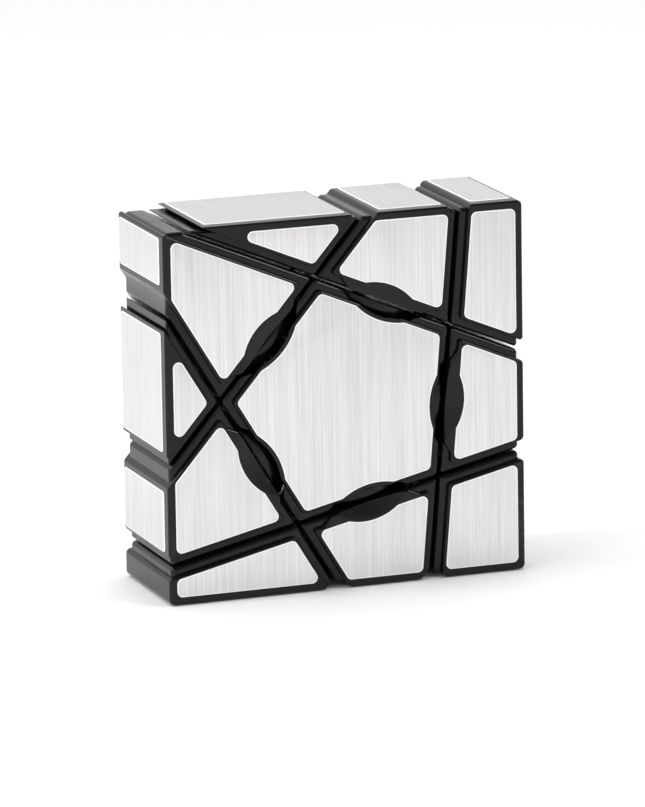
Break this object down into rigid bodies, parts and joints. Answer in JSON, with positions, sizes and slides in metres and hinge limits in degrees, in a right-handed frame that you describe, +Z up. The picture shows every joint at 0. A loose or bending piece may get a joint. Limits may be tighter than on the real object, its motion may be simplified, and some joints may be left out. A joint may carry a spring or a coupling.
{
  "type": "twisty puzzle",
  "caption": "Square one-layer twisty puzzle with a fixed pentagonal centre, turning sides, black shells and silver foil stickers.",
  "frame": {"origin": "centre of the footprint, on the surface that the puzzle stands on", "axes": "+X right, +Y away from the front face, +Z up; the puzzle stands on a narrow side with its square front facing -Y"},
  "size_m": [0.057, 0.021, 0.057],
  "materials": {
    "black_plastic": "glossy black",
    "grey_plastic": "satin dark grey, inside only",
    "silver_foil": "fine brushed foil sticker",
    "bright_steel": "bright zinc-plated steel"
  },
  "bodies": {
    "center": {"core_hub": "grey_plastic", "center_cover_front": "black_plastic", "center_cover_back": "black_plastic", "sticker_center_front": "silver_foil", "sticker_center_back": "silver_foil", "screw_top": "bright_steel", "spring_top": "bright_steel", "washer_top": "bright_steel", "screw_right": "bright_steel", "spring_right": "bright_steel", "washer_right": "bright_steel", "screw_bottom": "bright_steel", "spring_bottom": "bright_steel", "washer_bottom": "bright_steel", "screw_left": "bright_steel", "spring_left": "bright_steel", "washer_left": "bright_steel", "screw_upper_left": "bright_steel", "spring_upper_left": "bright_steel", "washer_upper_left": "bright_steel"},
    "edge_top": {"edge_top_front_shell": "black_plastic", "edge_top_back_shell": "black_plastic", "sticker_edge_top_front": "silver_foil", "sticker_edge_top_back": "silver_foil"},
    "edge_right": {"edge_right_front_shell": "black_plastic", "edge_right_back_shell": "black_plastic", "sticker_edge_right_front": "silver_foil", "sticker_edge_right_back": "silver_foil"},
    "edge_bottom": {"edge_bottom_front_shell": "black_plastic", "edge_bottom_back_shell": "black_plastic", "sticker_edge_bottom_front": "silver_foil", "sticker_edge_bottom_back": "silver_foil"},
    "edge_left": {"edge_left_front_shell": "black_plastic", "edge_left_back_shell": "black_plastic", "sticker_edge_left_front": "silver_foil", "sticker_edge_left_back": "silver_foil"},
    "edge_upper_left": {"edge_upper_left_front_shell": "black_plastic", "edge_upper_left_back_shell": "black_plastic", "sticker_edge_upper_left_front": "silver_foil", "sticker_edge_upper_left_back": "silver_foil"},
    "corner_upper_right": {"corner_upper_right_front_shell": "black_plastic", "corner_upper_right_back_shell": "black_plastic", "sticker_corner_upper_right_front": "silver_foil", "sticker_corner_upper_right_back": "silver_foil"},
    "corner_lower_right": {"corner_lower_right_front_shell": "black_plastic", "corner_lower_right_back_shell": "black_plastic", "sticker_corner_lower_right_front": "silver_foil", "sticker_corner_lower_right_back": "silver_foil"},
    "corner_lower_left": {"corner_lower_left_front_shell": "black_plastic", "corner_lower_left_back_shell": "black_plastic", "sticker_corner_lower_left_front": "silver_foil", "sticker_corner_lower_left_back": "silver_foil"},
    "corner_left": {"corner_left_front_shell": "black_plastic", "corner_left_back_shell": "black_plastic", "sticker_corner_left_front": "silver_foil", "sticker_corner_left_back": "silver_foil"},
    "corner_top": {"corner_top_front_shell": "black_plastic", "corner_top_back_shell": "black_plastic", "sticker_corner_top_front": "silver_foil", "sticker_corner_top_back": "silver_foil"}
  },
  "joints": [
    {"name": "turn_top", "type": "hinge", "parent": "center", "child": "edge_top", "pos_m": [0, 0, 0.0285], "axis": [0.3907, 0, 0.9205], "range_deg": [-180, 180]},
    {"name": "turn_right", "type": "hinge", "parent": "center", "child": "edge_right", "pos_m": [0, 0, 0.0285], "axis": [0.9962, 0, -0.0872], "range_deg": [-180, 180]},
    {"name": "turn_bottom", "type": "hinge", "parent": "center", "child": "edge_bottom", "pos_m": [0, 0, 0.0285], "axis": [0.225, 0, -0.9744], "range_deg": [-180, 180]},
    {"name": "turn_left", "type": "hinge", "parent": "center", "child": "edge_left", "pos_m": [0, 0, 0.0285], "axis": [-0.8572, 0, -0.515], "range_deg": [-180, 180]},
    {"name": "turn_upper_left", "type": "hinge", "parent": "center", "child": "edge_upper_left", "pos_m": [0, 0, 0.0285], "axis": [-0.7547, 0, 0.6561], "range_deg": [-180, 180]},
    {"name": "follow_top", "type": "hinge", "parent": "edge_right", "child": "corner_upper_right", "pos_m": [0, 0, 0.0285], "axis": [0.3907, 0, 0.9205], "range_deg": [-180, 180]},
    {"name": "follow_right", "type": "hinge", "parent": "edge_bottom", "child": "corner_lower_right", "pos_m": [0, 0, 0.0285], "axis": [0.9962, 0, -0.0872], "range_deg": [-180, 180]},
    {"name": "follow_bottom", "type": "hinge", "parent": "edge_left", "child": "corner_lower_left", "pos_m": [0, 0, 0.0285], "axis": [0.225, 0, -0.9744], "range_deg": [-180, 180]},
    {"name": "follow_left", "type": "hinge", "parent": "edge_upper_left", "child": "corner_left", "pos_m": [0, 0, 0.0285], "axis": [-0.8572, 0, -0.515], "range_deg": [-180, 180]},
    {"name": "follow_upper_left", "type": "hinge", "parent": "edge_top", "child": "corner_top", "pos_m": [0, 0, 0.0285], "axis": [-0.7547, 0, 0.6561], "range_deg": [-180, 180]}
  ],
  "couplings": [
    {"joint": "follow_top", "follows": "turn_top", "ratio": 1},
    {"joint": "follow_right", "follows": "turn_right", "ratio": 1},
    {"joint": "follow_bottom", "follows": "turn_bottom", "ratio": 1},
    {"joint": "follow_left", "follows": "turn_left", "ratio": 1},
    {"joint": "follow_upper_left", "follows": "turn_upper_left", "ratio": 1}
  ]
}
